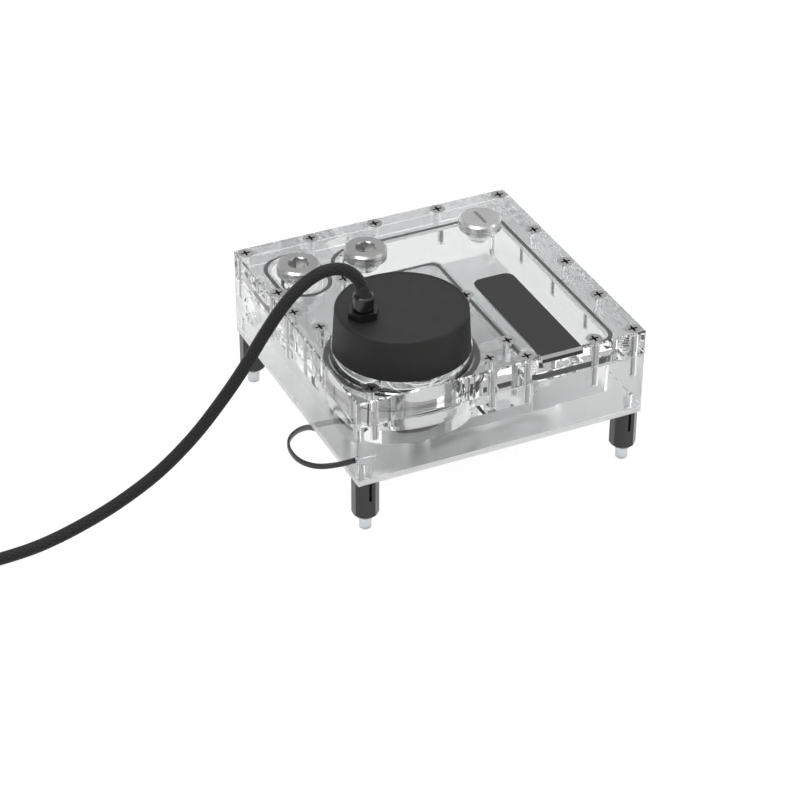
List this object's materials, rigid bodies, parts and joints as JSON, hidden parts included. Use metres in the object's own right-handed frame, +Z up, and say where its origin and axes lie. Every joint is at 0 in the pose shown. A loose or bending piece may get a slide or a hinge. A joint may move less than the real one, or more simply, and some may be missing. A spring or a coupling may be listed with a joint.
{
  "type": "coolant pump reservoir",
  "caption": "Clear acrylic coolant block with a sunk wet-rotor pump, L-shaped chamber, screw plugs, side ports, pin feet, a pump lead and a flat light lead.",
  "frame": {"origin": "under the middle of the square block, on the plane of the four feet's lower ends", "axes": "+X to the right along the front edge, +Y to the back, +Z up; the pump stands in the front left quarter"},
  "size_m": [0.3435, 0.2171, 0.1136],
  "materials": {
    "clear_acrylic": "polished clear cast acrylic",
    "black_bar": "satin black anodised strip",
    "seal_rubber": "matt",
    "screw_steel": "plain machined",
    "polished_shell": "polished",
    "can_steel": "drawn sheet",
    "ceramic": "ground ceramic",
    "core_steel": "laminated steel",
    "copper_wire": "enamelled copper wire",
    "board_green": "solder mask",
    "board_black": "moulded",
    "lead_black": "braided sleeve",
    "cap_black": "fine matt moulding",
    "rotor_black": "glass-filled moulding",
    "magnet_grey": "moulded ferrite magnet",
    "carbon": "carbon",
    "gland_black": "satin moulding",
    "plug_nickel": "satin nickel plating",
    "foot_black": "gloss moulding",
    "pin_clear": "translucent natural nylon",
    "lens_clear": "clear lens",
    "plug_ivory": "nylon housing",
    "contact_brass": "tinned brass",
    "ribbon_black": "flat flexible lead",
    "plug_black": "moulded housing"
  },
  "bodies": {
    "reservoir": {"cover_plate": "clear_acrylic", "base_block": "clear_acrylic", "sole_plate": "clear_acrylic", "trim_bar": "black_bar", "chamber_seal": "seal_rubber", "outlet_seal": "seal_rubber", "cover_screws": "screw_steel", "pump_screws": "screw_steel", "motor_shell": "polished_shell", "pump_seal": "seal_rubber", "separation_can": "can_steel", "bearing_shaft": "ceramic", "stator_core": "core_steel", "stator_coils": "copper_wire", "driver_board": "board_green", "board_parts": "board_black", "inner_leads": "lead_black", "pump_cap": "cap_black", "cable_gland": "gland_black", "gland_locknut": "gland_black", "gland_domenut": "gland_black", "foot_front_left": "foot_black", "foot_front_right": "foot_black", "foot_back_left": "foot_black", "foot_back_right": "foot_black", "pin_front_left": "pin_clear", "pin_front_right": "pin_clear", "pin_back_left": "pin_clear", "pin_back_right": "pin_clear", "light_module": "lens_clear", "pump_lead": "lead_black", "pump_lead_coil": "lead_black", "pump_lead_tail": "lead_black", "power_plug": "plug_ivory", "power_contacts": "contact_brass", "light_lead": "ribbon_black", "light_lead_coil": "ribbon_black", "light_lead_tail": "ribbon_black", "light_plug": "plug_black", "light_contacts": "contact_brass"},
    "rotor": {"impeller": "rotor_black", "rotor_magnet": "magnet_grey", "rotor_bush": "carbon", "rotor_cap": "rotor_black"},
    "outlet_ring": {"outlet_plug_seal": "seal_rubber"},
    "outlet_cap": {"outlet_plug": "plug_nickel"},
    "return_ring": {"return_plug_seal": "seal_rubber"},
    "return_cap": {"return_plug": "plug_nickel"},
    "fill_ring": {"fill_plug_seal": "seal_rubber"},
    "fill_cap": {"fill_plug": "plug_nickel"}
  },
  "joints": [
    {"name": "rotor_spin", "type": "hinge", "parent": "reservoir", "child": "rotor", "pos_m": [-0.0317, -0.0328, 0.0455], "axis": [0, 0, 1], "continuous": true},
    {"name": "outlet_rise", "type": "slide", "parent": "reservoir", "child": "outlet_ring", "axis": [0, 0, 1], "range_m": [0, 0.00605]},
    {"name": "outlet_turn", "type": "hinge", "parent": "outlet_ring", "child": "outlet_cap", "pos_m": [-0.049, 0.0377, 0.0683], "axis": [0, 0, 1], "range_deg": [0, 1620]},
    {"name": "return_rise", "type": "slide", "parent": "reservoir", "child": "return_ring", "axis": [0, 0, 1], "range_m": [0, 0.00605]},
    {"name": "return_turn", "type": "hinge", "parent": "return_ring", "child": "return_cap", "pos_m": [-0.0165, 0.0378, 0.0683], "axis": [0, 0, 1], "range_deg": [0, 1620]},
    {"name": "fill_rise", "type": "slide", "parent": "reservoir", "child": "fill_ring", "axis": [0, 0, 1], "range_m": [0, 0.00605]},
    {"name": "fill_turn", "type": "hinge", "parent": "fill_ring", "child": "fill_cap", "pos_m": [0.0418, 0.0402, 0.0683], "axis": [0, 0, 1], "range_deg": [0, 1620]}
  ],
  "couplings": [
    {"joint": "outlet_rise", "follows": "outlet_turn", "m_per_rad": 0.00021279},
    {"joint": "return_rise", "follows": "return_turn", "m_per_rad": 0.00021279},
    {"joint": "fill_rise", "follows": "fill_turn", "m_per_rad": 0.00021279}
  ]
}
